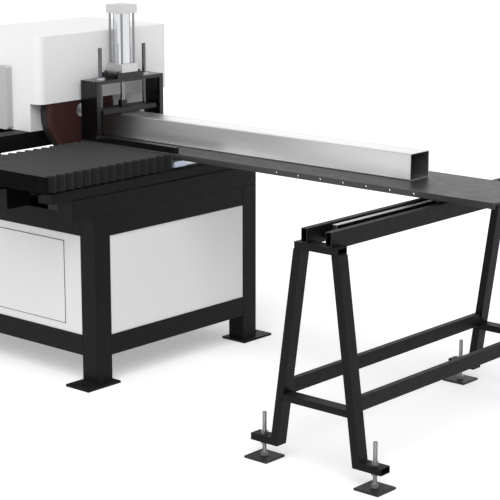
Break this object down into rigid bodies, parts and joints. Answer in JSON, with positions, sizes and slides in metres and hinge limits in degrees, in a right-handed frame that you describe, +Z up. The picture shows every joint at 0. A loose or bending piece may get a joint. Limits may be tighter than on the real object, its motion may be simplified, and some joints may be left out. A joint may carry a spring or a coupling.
{
  "type": "tube end deburring machine",
  "caption": "Bench-high abrasive disc machine with a hood, a traversing pneumatic tube clamp on covered linear rails and an outboard trestle.",
  "frame": {"origin": "on the floor, in the middle of the four anchor holes of the base's foot plates", "axes": "+X along the workpiece from the disc towards the trestle, +Y along the feed away from the operator's side, +Z up"},
  "size_m": [3.138, 1.626, 1.737],
  "materials": {
    "frame_paint": "satin near-black powder coat",
    "panel_paint": "smooth light grey-white paint",
    "rail_steel": "ground and hardened steel",
    "feed_aluminium": "clear anodised aluminium tube",
    "dark_castings": "dark grey anodised blocks",
    "bellows_cloth": "coated grey bellows cloth, matt",
    "plate_black": "black burnished steel plate, glossy",
    "flange_green": "greenish grey plate",
    "hood_paint": "near-white sheet metal paint",
    "guard_paint": "grey sheet inside the hood",
    "box_paint": "mid grey sheet metal paint",
    "housing_iron": "machined cast iron",
    "bearing_steel": "turned steel",
    "motor_paint": "blue-grey motor paint",
    "belt_rubber": "black ribbed belt",
    "disc_backing": "dark grey steel rim",
    "abrasive": "dark red-brown coated abrasive",
    "hub_aluminium": "pale turned hub cap",
    "block_steel": "bluish plated guide blocks",
    "table_paint": "dark grey satin folded sheet",
    "cap_aluminium": "light grey cast end caps",
    "barrel_aluminium": "bright drawn tube",
    "tie_steel": "dark steel rods",
    "zinc_steel": "zinc plated screws and nuts",
    "presser_steel": "blackened steel plate",
    "pad_rubber": "black pad",
    "work_stainless": "brushed stainless tube",
    "trestle_paint": "satin near-black paint",
    "foot_steel": "dark grey steel plate"
  },
  "bodies": {
    "base": {"foot_plates": "frame_paint", "base_legs": "frame_paint", "base_rails": "frame_paint", "front_panel": "panel_paint", "access_cover": "panel_paint", "side_panels": "panel_paint", "bed_beams": "frame_paint", "rail_beams": "frame_paint", "linear_rails": "rail_steel", "feed_tube": "feed_aluminium", "feed_end_caps": "dark_castings", "bellows_front": "bellows_cloth", "bellows_rear": "bellows_cloth", "bellows_end_plates": "plate_black", "bridge_beams": "frame_paint", "bridge_posts": "frame_paint", "spindle_plate": "frame_paint", "hood_shell": "hood_paint", "disc_guard": "guard_paint", "control_box": "box_paint", "bearing_housings": "housing_iron", "spindle_bearings": "bearing_steel", "motor_body": "motor_paint", "motor_foot": "motor_paint", "drive_belt": "belt_rubber", "trestle_legs": "trestle_paint", "trestle_crossbars": "trestle_paint", "trestle_stretchers": "trestle_paint", "trestle_beams": "trestle_paint", "trestle_rail_bar": "trestle_paint", "levelling_screws": "zinc_steel", "foot_pads": "foot_steel"},
    "carriage": {"guide_blocks": "block_steel", "block_risers": "frame_paint", "carriage_plate": "plate_black", "table_plate": "table_paint", "fence_bar": "plate_black", "feed_slider": "dark_castings", "bellows_carriage_plates": "flange_green", "clamp_legs": "plate_black", "clamp_top_plate": "plate_black", "cylinder_mount": "plate_black", "clamp_cylinder_caps": "cap_aluminium", "clamp_cylinder_barrel": "barrel_aluminium", "clamp_tie_rods": "tie_steel", "guide_bushes": "bearing_steel", "clamp_screws": "zinc_steel"},
    "clamp": {"clamp_rod": "rail_steel", "rod_coupling": "plate_black", "guide_rods": "rail_steel", "presser_plate": "presser_steel", "presser_pad": "pad_rubber"},
    "spindle": {"spindle_shaft": "bearing_steel", "spindle_pulley": "housing_iron", "backing_disc": "disc_backing", "abrasive_disc": "abrasive", "hub_cap": "hub_aluminium"},
    "motor_rotor": {"motor_shaft": "bearing_steel", "motor_pulley": "housing_iron"},
    "workpiece": {"workpiece_tube": "work_stainless"}
  },
  "joints": [
    {"name": "feed_slide", "type": "slide", "parent": "base", "child": "carriage", "axis": [0, 1, 0], "range_m": [-0.46, 0.15], "deforming": ["bellows_front", "bellows_rear"]},
    {"name": "clamp_lift", "type": "slide", "parent": "carriage", "child": "clamp", "axis": [0, 0, 1], "range_m": [0, 0.08]},
    {"name": "spindle_spin", "type": "hinge", "parent": "base", "child": "spindle", "pos_m": [-0.2, -0.05, 1.214], "axis": [1, 0, 0], "continuous": true},
    {"name": "motor_spin", "type": "hinge", "parent": "base", "child": "motor_rotor", "pos_m": [-0.4, 0.25, 1.28], "axis": [1, 0, 0], "continuous": true},
    {"name": "workpiece_slide", "type": "slide", "parent": "carriage", "child": "workpiece", "axis": [1, 0, 0], "range_m": [0, 0.5]}
  ],
  "couplings": [
    {"joint": "motor_spin", "follows": "spindle_spin", "ratio": 0.8527}
  ]
}
